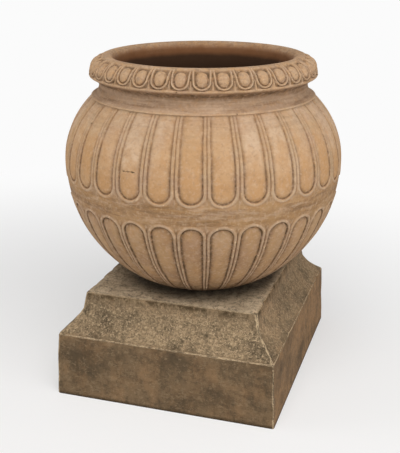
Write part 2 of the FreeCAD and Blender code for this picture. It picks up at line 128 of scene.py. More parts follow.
class ClayColours(bpy.types.PropertyGroup):
    """Colours of the clay, of what has settled on it, and of painted light and shade."""

    tan: colour("Dry fired clay", "#BE9E7A")
    orange: colour("Warmer fired clay", "#BC9164")
    rose: colour("Pinker clay, fired slower", "#B79379")
    bloom: colour("Pale lime bloom", "#CFB397")
    collar: colour("Handled clay of the neck", "#A78A70")
    band: colour("Clay of the plain band", "#A37E54")
    # This brown is dirt, and also painted shade in the grooves, under the rim and towards the pot's foot
    dirt: colour("Dirt held in the grooves", "#775A40")
    # This near black is dirt in the crack and the pits, and painted shadow in the deepest grooves, under the
    # rim, at the pot's foot, under the plinth's top and along the ground
    soot: colour("Black dirt in the deepest lines", "#41331F")
    crest: colour("Rubbed clay on raised lines", "#B89D82")
    chip: colour("Fresh chips on raised lines", "#E0CBAE")
    # The inside brown is clay darkened by painted shade, and the near black under it is painted shade deep
    # in the pot
    inside: colour("Clay inside the pot", "#805535")
    hollow: colour("Residue deep inside the pot", "#1C140C")
    stone: colour("Weathered clay of the plinth", "#7B654B")
    rust: colour("Redder clay of the plinth", "#9B7854")
    grit: colour("Pale clay in the plinth's moulding", "#A99171")
    # This pale colour is painted light on the plinth's top, which lies in the shade of the pot's belly
    dust: colour("Pale dust on the plinth's top", "#D6C1A2")
    # This dark colour is growth and stains, and also the painted shadow round the pot's foot on the plinth's
    # top
    lichen: colour("Dark growth on the plinth", "#3A3226")
    arris: colour("Rubbed edges of the plinth", "#C8AF8C")


class StageSettings(bpy.types.PropertyGroup):
    """The floor, the lamps and the camera."""

    floor: colour("Paper that the object stands on", "#F7F6F5")
    key: FloatProperty(description="Power of the overhead lamp", default=61, min=0, unit="POWER")
    fill: FloatProperty(description="Power of each side lamp", default=14, min=0, unit="POWER")
    lens: FloatProperty(description="Focal length", default=67.93, min=1, unit="CAMERA")


# Shapes

class Meridian:
    """A chain of arcs from low to high, followed by the distance along it."""

    def __init__(self, *arcs):
        """Each arc: its centre (radius, height), radius, and start and end angles."""
        self.arcs = arcs
        self.runs = [radius * (end - start) for centre, radius, start, end in arcs]
        self.length = sum(self.runs)

    def at(self, distance):
        """Radius and height at a distance along, and the outward direction there."""
        last = len(self.arcs) - 1
        for index, ((centre, radius, start, end), run) in enumerate(zip(self.arcs, self.runs)):
            if distance <= run or index == last:
                angle = start + distance / radius
                out = (cos(angle), sin(angle))
                return centre[0] + radius * out[0], centre[1] + radius * out[1], out
            distance -= run

    def distance_at(self, height):
        """Distance along at a height."""
        total = 0
        for (centre, radius, start, end), run in zip(self.arcs, self.runs):
            angle = asin(max(-1, min(1, (height - centre[1]) / radius)))
            if angle <= end:
                return total + radius * (angle - start)
            total += run
        return total


def ease(low, high, value):
    """0 below low, 1 above high and a smooth rise between them."""
    t = max(0, min(1, (value - low) / (high - low)))
    return t * t * (3 - 2 * t)


def ripple(place, wave, seed):
    """Smooth noise from -1 to 1 whose waves are about that many millimetres long."""
    return noise.noise(Vector(place) / (wave * MM) + Vector((seed, 7.3 * seed, -3.1 * seed)))


def level_arc(widest, end):
    """Centre and radius of an arc that is upright at the widest point and runs to the end point."""
    inward = widest[0] - end[0]
    radius = (inward ** 2 + (end[1] - widest[1]) ** 2) / (2 * inward)
    return (widest[0] - radius, widest[1]), radius


def arc_rows(centre, radius, start, end, steps):
    """Places (radius, height) along an arc, without its first."""
    turns = [radians(start + (end - start) * i / steps) for i in range(1, steps + 1)]
    return [(centre[0] + radius * cos(a), centre[1] + radius * sin(a)) for a in turns]


class Clay:
    """Vertices, faces and surface marks of one piece while it is built."""

    def __init__(self, *marks):
        self.points = []
        self.faces = []
        self.marks = {name: [] for name in marks}

    def point(self, place, **marks):
        """Adds a vertex and the marks that aren't 0 there."""
        self.points.append(place)
        for name, values in self.marks.items():
            values.append(marks.get(name, 0))
        return len(self.points) - 1

    def ring(self, angles, place, **marks):
        """Adds a level ring of vertices about the axis."""
        radius, height = place
        return [self.point((radius * sin(a), -radius * cos(a), height), **marks) for a in angles]

    def skin(self, rows, closed=True):
        """Adds faces between rows of as many vertices."""
        for low, high in zip(rows, rows[1:]):
            count = len(low)
            for i in range(count if closed else count - 1):
                j = (i + 1) % count
                self.faces.append((low[i], low[j], high[j], high[i]))

    def bridge(self, low, high):
        """Adds triangles between two rings of different counts that start at about the same angle."""
        def turns(row):
            angles = [atan2(self.points[i][0], -self.points[i][1]) for i in row]
            return [0] + [(angle - angles[0]) % (2 * pi) for angle in angles[1:]] + [2 * pi]

        low_turns, high_turns = turns(low), turns(high)
        i = j = 0
        while i < len(low) or j < len(high):
            here, there = low[i % len(low)], high[j % len(high)]
            if j == len(high) or (i < len(low) and low_turns[i + 1] <= high_turns[j + 1]):
                i += 1
                self.faces.append((here, low[i % len(low)], there))
            else:
                j += 1
                self.faces.append((here, high[j % len(high)], there))

    def piece(self, name, material, join=0):
        """The finished object, with vertices closer than join made one."""
        mesh = bpy.data.meshes.new(name)
        mesh.from_pydata(self.points, [], self.faces)
        for mark, values in self.marks.items():
            mesh.attributes.new(mark, "FLOAT", "POINT").data.foreach_set("value", values)
        work = bmesh.new()
        work.from_mesh(mesh)
        if join:
            bmesh.ops.remove_doubles(work, verts=work.verts, dist=join)
        bmesh.ops.recalc_face_normals(work, faces=work.faces)
        if not all(edge.is_manifold for edge in work.edges):
            raise RuntimeError(f"{name} is open")
        work.to_mesh(mesh)
        work.free()
        mesh.shade_smooth()
        mesh.materials.append(material)
        piece = bpy.data.objects.new(name, mesh)
        bpy.context.collection.objects.link(piece)
        return piece


class PotWall:
    """Finds places on the pot by angle, distance up a meridian and depth."""

    # waves in which lines stray, depths change and clay is worn off, in mm
    STRAY, CHANGE, WEAR = 45, 30, 22

    def __init__(self, clay, meridian, waver):
        self.clay = clay
        self.meridian = meridian
        self.waver = waver

    def add(self, angle, distance, depth, **marks):
        """Adds one vertex. Hand work wavers: lines stray sideways and depths change a little."""
        radius, height, out = self.meridian.at(distance)
        place = (radius * sin(angle), -radius * cos(angle), height)
        angle += self.waver * ripple(place, self.STRAY, 1) / radius
        if 0 < distance < self.meridian.length:
            edge = ease(0, 12 * MM, min(distance, self.meridian.length - distance))
            distance += edge * self.waver * ripple(place, self.STRAY, 2)
            radius, height, out = self.meridian.at(distance)
        depth *= 1 + 0.3 * ripple(place, self.CHANGE, 3)
        depth += 0.25 * MM * (1 + ripple(place, self.WEAR, 4))
        radius -= depth * out[0]
        height -= depth * out[1]
        return self.clay.point((radius * sin(angle), -radius * cos(angle), height), **marks)


# the ornament's measured spacing is this much wider than even at the front, which is turned from -Y
# towards +X; behind, it is closer, to make up the solids' counts
SPREAD = 0.035
FRONT = radians(17.4)


def hand_set(angle):
    """Where ornament lies that would lie at this angle if it were evenly spaced."""
    return angle + SPREAD * sin(angle - FRONT)


class Cell:
    """One ornament inside a round-ended raised bead, as lines that run down one leg and up the other.

    Sizes are in metres from the middle of the round end: x sideways and y towards the open end.
    """

    # steps round the round end, and where the line in the ground lies between border and bead
    ARC, GROUND = 20, 0.55

    def __init__(self, half_pitch, half_width, reach, leg, rows, section, floor, flare=0):
        """section: share of the half width and depth in mm, from the bead's foot to the middle.

        reach: from the middle of the round end to the plain clay past it. floor: depths of the
        ground beside the legs, in the corners and past the round end. flare: share by which the legs
        spread towards the open end.
        """
        self.half_pitch = half_pitch
        self.half_width = half_width
        self.reach = reach
        self.legs = [leg * i / rows for i in range(rows, 0, -1)]
        self.section = [(share, depth * MM) for share, depth in section]
        self.floor = floor
        self.spread = [1 + flare * i / rows for i in range(rows, 0, -1)]

    def edge(self):
        """The border of the cell as (x, y, depth)."""
        beside, corner, past = self.floor
        quarter = self.ARC // 4
        shares = [i / quarter for i in range(quarter)]
        side = [(-self.half_pitch, y, beside) for y in self.legs]
        side += [(-self.half_pitch, -self.reach * s, beside + (corner - beside) * s) for s in shares]
        low = [(self.half_pitch * (i / quarter - 1), -self.reach, past) for i in range(2 * quarter + 1)]
        return side + low + [(-x, y, depth) for x, y, depth in reversed(side)]

    def loop(self, share, depth):
        """One line of the bead and of what it holds, as (x, y, depth)."""
        radius = share * self.half_width
        places = [(-radius * spread, y, depth) for y, spread in zip(self.legs, self.spread)]
        legs = [(-x, y, depth) for x, y, depth in reversed(places)]
        for i in range(self.ARC + 1):
            angle = pi * i / self.ARC
            places.append((-radius * cos(angle), -radius * sin(angle), depth))
        return places + legs

    def lines(self):
        """All lines from the border to the middle. The second lies in the ground round the bead."""
        edge = self.edge()
        loops = [self.loop(share, depth) for share, depth in self.section]
        ground = [(a[0] + (b[0] - a[0]) * self.GROUND, a[1] + (b[1] - a[1]) * self.GROUND, self.floor[1])
                  for a, b in zip(edge, loops[0])]
        return [edge, ground] + loops

    def columns(self, count, turn):
        """Angles and depths along the open ends of a whole ring of cells."""
        left = [(line[0][0], line[0][2]) for line in self.lines()]
        across = left + [(-x, depth) for x, depth in reversed(left[1:-1])]
        pitch = 2 * pi / count
        return [(hand_set(turn + pitch * (n + x / self.half_pitch / 2)), depth)
                for n in range(count) for x, depth in across]

    def lay(self, wall, count, turn, middle, up, shape):
        """Lays the cell round the pot. shape gives the final depth and the marks of a place in it."""
        lines = self.lines()
        pitch = 2 * pi / count
        for number in range(count):
            rows = []
            for index, line in enumerate(lines):
                row = []
                for x, y, depth in line:
                    depth, marks = shape(number, index, x, y, depth)
                    angle = hand_set(turn + pitch * (number + x / self.half_pitch / 2))
                    row.append(wall.add(angle, middle + up * y, depth, **marks))
                rows.append(row)
            wall.clay.skin(rows, closed=False)


def cell_ends(count, turn):
    """Angles of the vertices along the borders past the round ends of a ring of cells."""
    steps = Cell.ARC // 2
    pitch = 2 * pi / count
    return [hand_set(turn + pitch * (n - 0.5 + i / steps)) for n in range(count) for i in range(steps)]


class Pot(Clay):
    """The pot as one closed skin, laid part by part."""

    # a tongue's bead, groove and pillowy field: share of the half width, depth in mm, dirt and painted shade
    # from 0 to 1
    TONGUE = ((1, 2, 0.75), (0.975, 0.5, 0.35), (0.93, 0, 0.25), (0.85, 0, 0.25), (0.805, 0.5, 0.45),
              (0.77, 2, 0.9), (0.735, 3.2, 1), (0.7, 2.7, 0.75), (0.65, 1.8, 0.5), (0.57, 1.1, 0.28),
              (0.42, 0.6, 0.08), (0.22, 0.35, 0), (0, 0.3, 0))
    # lines of the bead, counted from the cell's border
    BEAD = range(2, 7)
    TONGUE_FLOOR = (3 * MM, 1.9 * MM, 1.6 * MM)
    # an egg's bead, then the ground that the egg rises from: share of the half width, depth in mm
    EGG = ((1, 2.8), (0.95, 0.7), (0.89, 0), (0.82, 0.5), (0.765, 2.2)) + tuple(
        (share, 3.2) for share in (0.71, 0.65, 0.59, 0.53, 0.44, 0.31, 0.15, 0))
    EGG_FLOOR = (2.8 * MM, 2.8 * MM, 0.6 * MM)
    # an egg's first line, half width as a share of its bead's, middle, half height and rise
    EGG_LINE, EGG_WIDTH, EGG_MIDDLE, EGG_HEIGHT, EGG_RISE = 9, 0.62, 5.5 * MM, 16.5 * MM, 5 * MM
    # half the ground between two beads, and the ground past their round ends
    TONGUE_GAP, TONGUE_PAST = 0.6 * MM, 2 * MM
    EGG_GAP, EGG_PAST = 2.4 * MM, 1.2 * MM
    # a bead's top is rubbed down to this depth
    RUBBED = 0.9 * MM
    # depth at which the carving runs out at the foot and under the lip
    FOOT_DEPTH, LIP_DEPTH = 1.2 * MM, 0.5 * MM
    # tongues weathered palest are four or five apart, and the third from the front is one
    PALE_STEP, PALE_TONGUE = 1.4, 3.4
    # a crack across the tongue left of the front: height above the round end's middle, half its run
    CRACK = (28 * MM, 14 * MM)
    # how far round the roll the carving goes
    CARVED = radians(74)

    def __init__(self, sizes):
        # The marks include dirt and painted shade in the grooves and under the rim, painted shade towards
        # the foot and painted shade inside
        super().__init__("recess", "crest", "collar", "band", "ripe", "pale", "soil", "rim", "crack",
                         "inside")
        self.sizes = sizes
        widest = (sizes.belly_radius, sizes.belly_height)
        self.shoulder = (sizes.shoulder_radius, sizes.belly_height + sizes.shoulder_rise)
        self.low_centre, self.low_radius = level_arc(widest, (sizes.foot_radius, 0))
        self.high_centre, self.high_radius = level_arc(widest, self.shoulder)
        self.belly = Meridian(
            (self.low_centre, self.low_radius, -asin(sizes.belly_height / self.low_radius), 0),
            (self.high_centre, self.high_radius, 0, asin(sizes.shoulder_rise / self.high_radius)))
        self.wall = PotWall(self, self.belly, waver=1.3 * MM)
        neck = self.shoulder[0] - sizes.neck_set_in
        self.neck_low = (neck, self.shoulder[1] + 2 * sizes.string_bead + sizes.neck_rise)
        self.neck_high = (neck, self.neck_low[1] + sizes.neck_upright)
        self.rim_low = (neck + sizes.rim_overhang - sizes.rim_ease, self.neck_high[1] + sizes.rim_undercut)
        self.rim_side = (self.rim_low[0] + sizes.rim_ease, self.rim_low[1] + sizes.rim_ease)
        self.roll_centre = (self.rim_side[0] - sizes.rim_roll, self.rim_side[1])
        self.lip_centre = (self.roll_centre[0], self.roll_centre[1] + sizes.rim_roll - sizes.lip_roll)

    def tongues(self, height, up, rows):
        """One row of tongues round the belly. up: 1 where they run up from their round ends, -1 where down.

        Gives the cell and the distance up the belly of the border past the round ends.
        """
        count, turn = self.sizes.tongue_count, self.sizes.tongue_turn
        end = self.belly.distance_at(height)
        half_pitch = self.belly.at(end)[0] * pi / count
        half = half_pitch - self.TONGUE_GAP
        reach = half + self.TONGUE_PAST
        middle = end + up * half
        leg = self.belly.length - middle if up > 0 else middle
        section = [line[:2] for line in self.TONGUE]
        cell = Cell(half_pitch, half, reach, leg, rows, section, self.TONGUE_FLOOR)

        def shape(number, index, x, y, depth):
            """A small dart stands between round ends, and lower tongues run out at the foot."""
            # dirt and painted shade in the grooves and in the ground round each cell, less at the round ends
            # and higher up the upper row, more in the lower row
            recess = self.TONGUE[index - 2][2] if index > 1 else 0.85 * ease(-0.9 * reach, 0, y)
            crest = max(0, 1 - depth / self.RUBBED) if index in self.BEAD else 0
            if index in self.BEAD:
                recess *= 0.4 + 0.6 * ease(-10 * MM, 12 * MM, y)
            if index == 0 and abs(y + 0.6 * reach) < 3 * MM:
                depth, crest, recess = 0.5 * MM, 0.9, 0
            band = max(0, min(1, -y / reach)) if index < 2 else 0
            ripe = pale = soil = veil = crack = 0
            if up > 0:
                inner = ease(0.75, 0.5, abs(x) / half)
                ripe = inner * (1 - ease(40 * MM, 130 * MM, y))
                pale = inner * (0.5 + 0.5 * cos(self.PALE_STEP * (number - self.PALE_TONGUE)))
                pale *= ease(10 * MM, 60 * MM, y)
                veil = 0.5 * ease(60 * MM, 150 * MM, y)
                high, run = self.CRACK
                if number == count - 1 and abs(y - high) < 0.5 * leg / rows and abs(x) < run:
                    crack = 1
                recess *= 1 - 0.4 * ease(0, 110 * MM, y)
                crest *= 0.4 + 0.6 * ease(20 * MM, -20 * MM, y)
            else:
                left = leg - y
                out = ease(4 * MM, 50 * MM, left)
                depth = self.FOOT_DEPTH + (depth - self.FOOT_DEPTH) * out
                recess = 1.2 * recess if index in self.BEAD else 1.15 * recess ** 0.7
                crest *= out
                # painted shade, darker towards the foot
                soil = 1 - 0.65 * ease(20 * MM, 250 * MM, left)
            return depth, dict(recess=recess, crest=crest, band=band, ripe=ripe, pale=pale, soil=soil,
                               collar=veil, crack=crack)

        cell.lay(self.wall, count, turn, middle, up, shape)
        return cell, middle - up * reach

    def plain_band(self, low, high):
        """The plain clay between the two rows of tongues."""
        angles = cell_ends(self.sizes.tongue_count, self.sizes.tongue_turn)
        rows = []
        for i in range(6):
            distance = low + (high - low) * i / 5
            streak = 0.4 * sin(pi * i / 5)
            rows.append([self.wall.add(angle, distance, self.TONGUE_FLOOR[2], band=1, recess=streak)
                         for angle in angles])
        self.skin(rows)

    def neck(self, cell):
        """String line and hollow neck, on the columns of the upper tongues. Gives the last ring."""
        sizes = self.sizes
        columns = cell.columns(sizes.tongue_count, sizes.tongue_turn)
        angles = [angle for angle, depth in columns]
        rows = [[self.wall.add(angle, self.belly.length, depth) for angle, depth in columns]]
        bead = sizes.string_bead
        string = arc_rows((self.shoulder[0], self.shoulder[1] + bead), bead, -90, 90, 5)
        rows += [self.ring(angles, place, crest=0.6) for place in string]
        neck, top = self.neck_low
        (outside, _), hollow = level_arc((-neck, top), (-self.shoulder[0], top - sizes.neck_rise))
        start = 180 + degrees(asin(sizes.neck_rise / hollow))
        cove = arc_rows((-outside, top), hollow, start, 180, 9)
        # painted shadow under the rim's overhang, on the neck's top and the slope under the rim
        for place in cove + [self.neck_high]:
            under = ease(self.neck_low[1], self.neck_high[1], place[1])
            rows.append(self.ring(angles, place, collar=1, recess=0.6 * under))
        low, high = Vector(self.neck_high), Vector(self.rim_low)
        rows += [self.ring(angles, low.lerp(high, share), collar=1, recess=1) for share in (0.3, 0.6)]
        self.skin(rows)
        return rows[-1]

    def foot(self, cell):
        """The foot, on the columns of the lower tongues. Gives the ring of the drain hole."""
        sizes = self.sizes
        angles = [angle for angle, depth in cell.columns(sizes.tongue_count, sizes.tongue_turn)]
        # the foot's underside takes the full painted shade
        rows = [[self.wall.add(angle, 0, self.FOOT_DEPTH, soil=1) for angle in angles]]
        rows += [self.ring(angles, (radius, 0), soil=1)
                 for radius in (sizes.foot_radius - 4 * MM, sizes.foot_radius * 0.6, sizes.drain / 2)]
        self.skin(rows)
        return rows[-1]

    def eggs(self, neck_ring):
        """Egg-and-dart on the rim's roll, with the plain edge under it. Gives the ring at the lip."""
        sizes = self.sizes
        count, turn = sizes.egg_count, sizes.egg_turn
        ovolo = Meridian((self.roll_centre, sizes.rim_roll, 0, self.CARVED))
        roll = PotWall(self, ovolo, waver=0.5 * MM)
        half_pitch = (self.rim_side[0] - 0.06 * sizes.rim_roll) * pi / count
        half = half_pitch - self.EGG_GAP
        reach = half + self.EGG_PAST
        top = ovolo.length - reach
        egg_half = self.EGG_WIDTH * half

        def shape(number, index, x, y, depth):
            """An egg fills the bead, broad at the top, and a dart stands in each corner under the beads."""
            crest = max(0, 1 - depth / self.RUBBED) if index < self.BEAD.stop else 0
            if index >= self.EGG_LINE:
                along = (y - self.EGG_MIDDLE) / self.EGG_HEIGHT
                bulge = 1 - abs(x / (egg_half * (1 + 0.08 * along))) ** 2.2 - abs(along) ** 2.4
                swell = sqrt(max(0, bulge))
                depth -= self.EGG_RISE * swell
                crest = 0.5 * ease(0.5, 1, swell)
            if index == 0 and abs(abs(x) - half_pitch) < 0.01 * MM and -0.9 * reach < y < 2 * MM:
                depth, crest = 0.9 * MM, 0.4
            # dirt and painted shade, more the deeper the place lies
            recess = max(0, min(1, (depth - 0.8 * MM) / (2.1 * MM)))
            out = 1 - ease(top - 4 * MM, top, y)
            depth = self.LIP_DEPTH + (depth - self.LIP_DEPTH) * out
            ripe = 0.9 if index > self.EGG_LINE and crest > 0.2 else 0
            return depth, dict(recess=recess * out, crest=crest, collar=0.4, ripe=ripe, rim=1)

        cell = Cell(half_pitch, half, reach, top, 10, self.EGG, self.EGG_FLOOR, flare=0.13)
        cell.lay(roll, count, turn, reach, 1, shape)

        angles = cell_ends(count, turn)
        # painted shadow on the rim's underside
        rows = [self.ring(angles, self.rim_low, collar=0.8, recess=0.6)]
        under = arc_rows((self.rim_low[0], self.rim_side[1]), sizes.rim_ease, -90, -10, 3)
        rows += [self.ring(angles, place, collar=0.5, crest=0.2, rim=0.6) for place in under]
        rows.append([roll.add(angle, 0, self.EGG_FLOOR[2], collar=0.4, rim=0.8) for angle in angles])
        self.skin(rows)
        self.bridge(neck_ring, rows[0])

        angles = [angle for angle, depth in cell.columns(count, turn)]
        rows = [[roll.add(angle, ovolo.length, self.LIP_DEPTH, collar=0.4, rim=1) for angle in angles]]
        crown = arc_rows(self.roll_centre, sizes.rim_roll, degrees(self.CARVED), 90, 5)
        rows += [self.ring(angles, place, collar=0.8, rim=1) for place in crown]
        # painted shade for the inside starts on the lip's inner turn
        for i, place in enumerate(arc_rows(self.lip_centre, sizes.lip_roll, 90, 180, 6)):
            rows.append(self.ring(angles, place, inside=0.07 * i, collar=0.8, rim=1, ripe=0.12 * i))
        self.skin(rows)
        return rows[-1]

    def inside(self, lip_ring, drain_ring):
        """Throat and inside, one wall in from the belly, down to the drain hole."""
        sizes = self.sizes
        throat = self.lip_centre[0] - sizes.lip_roll
        high, low = self.high_radius - sizes.wall, self.low_radius - sizes.wall
        meet = acos((throat - self.high_centre[0]) / high)
        bottom = asin((sizes.floor - sizes.belly_height) / low)
        places = [(throat, self.lip_centre[1] - drop * MM) for drop in (6, 12, 18)]
        places.append((throat, self.high_centre[1] + high * sin(meet)))
        places += arc_rows(self.high_centre, high, degrees(meet), 0, 10)
        places += arc_rows(self.low_centre, low, 0, degrees(bottom), 14)
        places += [(0.4 * sizes.foot_radius, sizes.floor), (sizes.drain / 2, sizes.floor)]
        start = hand_set(sizes.egg_turn - pi / sizes.egg_count)
        columns = 240
        angles = [start + 2 * pi * i / columns for i in range(columns)]
        # painted shade, darker row by row down the inside
        rows = [self.ring(angles, place, inside=min(1, 0.4 + 0.25 * n))
                for n, place in enumerate(places)]
        self.skin(rows)
        self.bridge(lip_ring, rows[0])
        self.bridge(rows[-1], drain_ring)

    def build(self, material):
        """Lays all parts and gives the finished object."""
        upper, band_high = self.tongues(self.sizes.band_top, up=1, rows=18)
        lower, band_low = self.tongues(self.sizes.band_low, up=-1, rows=22)
        self.plain_band(band_low, band_high)
        lip_ring = self.eggs(self.neck(upper))
        self.inside(lip_ring, self.foot(lower))
        return self.piece("carved_pot", material, join=0.02 * MM)


class Plinth(Clay):
    """The plinth as one closed skin: block, hollow moulding, fillet and worn top, hollow below."""

    # steps along a side and round a corner
    SIDES, BEND = 96, 4
    # rounding of corners, worn and not, and how far from one the wear reaches
    WORN_CORNER, CORNER, NEAR = 3.5 * MM, 5 * MM, 5 * MM
    # waves in which edges chip, in mm, where in them chips start, and how deep they go
    CHIP_WAVE, CHIP_START, CHIP_DEPTH = 24, 0.25, 11 * MM
    EDGE_WEAR = 0.4 * MM

    def __init__(self, sizes):
        # The marks include painted light on the top, painted shadow round the pot's foot and along the
        # ground, and painted shade under the top's edge
        super().__init__("arris", "moulding", "top", "warm", "foot", "damp", "drip")
        self.sizes = sizes
        low, high = Vector(PLINTH_LOW), Vector(PLINTH_HIGH)
        self.centre = ((low + high) / 2) * Vector((1, 1, 0))
        self.half = (high - low) / 2
        self.shoulder = sizes.block + sizes.rise
        self.height = self.shoulder + sizes.fillet
        self.set_in = sizes.batter + sizes.run + sizes.lean

    def inset(self, z, hollow):
        """How far the side lies inside the foot's edge at a height."""
        sizes = self.sizes
        if z <= sizes.block:
            return sizes.batter * z / sizes.block
        if z <= self.shoulder:
            share = (z - sizes.block) / sizes.rise
            return sizes.batter + sizes.run * share + hollow * 4 * share * (1 - share)
        return sizes.batter + sizes.run + sizes.lean * (z - self.shoulder) / sizes.fillet

    def outline(self, side, front, z, rounding):
        """A level rectangle with rounded corners, as places with the nearness of a corner."""
        x, y = self.half.x - side, self.half.y - front
        corners = []
        for number, (sx, sy) in enumerate(CORNERS):
            r = rounding * (1 + 0.7 * ripple((sx, sy, z), 30, 5))
            turns = [pi / 2 * (2 + number + i / self.BEND) for i in range(self.BEND + 1)]
            corners.append([(sx * (x - r) + r * cos(a), sy * (y - r) + r * sin(a)) for a in turns])
        places = []
        for corner, following in zip(corners, corners[1:] + corners[:1]):
            places += [(*place, 1 - 0.7 * abs(i / self.BEND - 0.5)) for i, place in enumerate(corner)]
            start, end = Vector(corner[-1]), Vector(following[0])
            for i in range(1, self.SIDES):
                place = start.lerp(end, i / self.SIDES)
                near = min(i, self.SIDES - i) / self.SIDES * (end - start).length
                places.append((*place, max(0, 1 - near / self.NEAR)))
        return places

    def worn(self, z, more=0, edge=0, rough=1, **marks):
        """One ring, worn more the nearer it is to an edge. more: set in by that much more."""
        side = self.inset(z, self.sizes.side_hollow) + more
        front = self.inset(z, self.sizes.front_hollow) + more
        row = []
        for x, y, near in self.outline(side, front, z, self.WORN_CORNER):
            place = Vector((x, y, z))
            sideways = abs(x / self.half.x) > abs(y / self.half.y)
            out = Vector((copysign(1, x), 0, 0)) if sideways else Vector((0, copysign(1, y), 0))
            worn = max(edge, near)
            wear = rough * MM * (0.6 + 0.6 * ripple(place, 60, 6) + 0.5 * ripple(place, 14, 7))
            chip = max(0, ripple(place, self.CHIP_WAVE, 8) - self.CHIP_START) * self.CHIP_DEPTH * worn
            place -= out * (max(0, wear) + chip + worn * self.EDGE_WEAR * (1 + ripple(place, 15, 9)))
            place.z -= edge * (chip * 0.7 + self.EDGE_WEAR * (1 + ripple(place, 17, 10)))
            place += self.centre
            here = dict(marks, arris=worn)
            if out.x > 0:
                here.update(warm=1, moulding=0.7 * marks.get("moulding", 0))
            row.append(self.point(place, **here))
        return row

    def flat(self, set_in, z, hole=0, top=0, **marks):
        """A ring with no wear, drawn in to the edge of a hole if that has a radius.

        The top carries a painted shadow close round the pot's foot, which is about the origin.
        """
        row = []
        for x, y, _ in self.outline(set_in, set_in, z, self.CORNER):
            if hole:
                turn = atan2(y, x)
                x, y = hole * cos(turn), hole * sin(turn)
            x, y = x + self.centre.x, y + self.centre.y
            # painted shadow round the pot's foot
            damp = top * (1 - ease(130 * MM, 185 * MM, hypot(x, y)))
            row.append(self.point((x, y, z), top=top, damp=damp, **marks))
        return row

    def build(self, material):
        """Lays rings from the ground up the outside, over the top and down inside."""
        sizes = self.sizes
        block, rise, fillet, wall = sizes.block, sizes.rise, sizes.fillet, sizes.wall
        # along the ground the block carries a painted shadow
        rows = [self.worn(0, 0.6 * MM, rough=0, foot=1)]
        rows += [self.worn(z, foot=max(0, 1 - z / (7 * MM))) for z in (block * i / 16 for i in range(1, 16))]
        rows += [self.worn(block - 2.5 * MM, edge=0.35),
                 self.worn(block - 0.2 * MM, 0.6 * MM, edge=1, rough=0.6),
                 self.worn(block + 2 * MM, edge=0.4, rough=0.6, moulding=0.5)]
        rows += [self.worn(block + 2 * MM + (rise - 2 * MM) * i / 12, moulding=1) for i in range(1, 13)]
        # the upper fillet carries painted shade under the top's edge
        rows += [self.worn(self.shoulder + fillet * i / 6, moulding=1 - 0.1 * i, drip=max(0, i / 2 - 1.5))
                 for i in range(1, 6)]
        rows += [self.worn(self.height - 2 * MM, edge=0.4, rough=0.7, moulding=0.3, drip=0.8),
                 self.worn(self.height - 0.3 * MM, 0.8 * MM, edge=1, rough=0.5, top=0.5),
                 self.worn(self.height, 4 * MM, rough=0, top=1)]
        rows += [self.flat(self.set_in + more * MM, self.height, top=1)
                 for more in (15, 30, 45, 60, 75, 90, 110, 130)]
        under, shelf, vent = self.height - sizes.top, block - wall, sizes.vent / 2
        rows += [self.flat(self.set_in, self.height, vent, top=1), self.flat(self.set_in, under, vent)]
        rows += [self.flat(self.set_in + wall, under), self.flat(self.set_in + wall, shelf)]
        rows += [self.flat(sizes.batter + wall, shelf), self.flat(sizes.batter + wall, 0, foot=1)]
        self.skin(rows + rows[:1])
        return self.piece("worn_plinth", material)


# Materials

def add(tree, kind, inputs=(), output=0, **settings):
    """Adds a shader node, such as TexNoise. Gives one of its output sockets, by number or name.

    inputs: values, or sockets that feed the node, by name or number or else in their order.
    """
    item = tree.nodes.new("ShaderNode" + kind)
    for name, value in settings.items():
        setattr(item, name, value)
    for name, value in inputs.items() if isinstance(inputs, dict) else enumerate(inputs):
        if isinstance(value, bpy.types.NodeSocket):
            tree.links.new(value, item.inputs[name])
        else:
            item.inputs[name].default_value = value
    return item.outputs[output] if len(item.outputs) else None


def new_material(name):
    """An empty node material, its tree and the place of its patterns."""
    material = bpy.data.materials.new(name)
    material.use_nodes = True
    tree = material.node_tree
    tree.nodes.clear()
    return material, tree, add(tree, "TexCoord", output="Object")


def per_metre(millimetres):
    """The scale of a pattern whose features are that size."""
    return 1000 / millimetres


def solid(rgb):
    """A colour with full alpha."""
    return (*rgb, 1)


class Coat(NamedTuple):
    """One colour laid over the clay in soft-edged patches."""

    colour: tuple
    # millimetres across the largest patches
    size: float
    # noise below low shows least of the colour and above high most of it
    low: float
    high: float
    most: float = 1
    # surface mark that the colour keeps to, and how far noise frays its edge; not frayed: patches inside it
    mark: str = ""
    least: float = 0
    fray: float = 0
    detail: float = 4
    rough: float = 0.55
    # scales of the pattern level and upright: the lower, the longer the patches
    stretch: tuple = (1, 1)


def lay_coats(tree, space, shade, coats):
    """Lays coats of colour over each other and gives the socket of the last."""
    for coat in coats:
        level, upright = coat.stretch
        place = add(tree, "Mapping", {"Vector": space, "Scale": (level, level, upright)})
        value = add(tree, "TexNoise", {"Vector": place, "Scale": per_metre(coat.size), "Detail": coat.detail,
                                       "Roughness": coat.rough})
        if coat.mark:
            mark = add(tree, "Attribute", output="Fac", attribute_name=coat.mark)
        if coat.fray:
            value = add(tree, "Math", [value, coat.fray, mark], operation="MULTIPLY_ADD")
        share = add(tree, "MapRange", [value, coat.low, coat.high, coat.least, coat.most],
                    interpolation_type="SMOOTHSTEP")
        if coat.mark and not coat.fray:
            share = add(tree, "Math", [share, mark], operation="MULTIPLY")
        shade = add(tree, "Mix", {0: share, 6: shade, 7: solid(coat.colour)}, output=2, data_type="RGBA")
    return shade


def dry_clay(tree, space, shade, grain, strength, depth, roughness, gloss):
    """Ends a clay material: its shade, the grain that the hand feels and its uneven dullness."""
    bump = add(tree, "Bump", {"Height": grain, "Strength": strength, "Distance": depth})
    dull = add(tree, "TexNoise", {"Vector": space, "Scale": per_metre(20)})
    dull = add(tree, "MapRange", [dull, 0.3, 0.7, *roughness])
    clay = add(tree, "BsdfPrincipled", {"Base Color": shade, "Roughness": dull, "IOR": 1.5,
                                        "Specular IOR Level": gloss, "Normal": bump})
    add(tree, "OutputMaterial", {"Surface": clay})


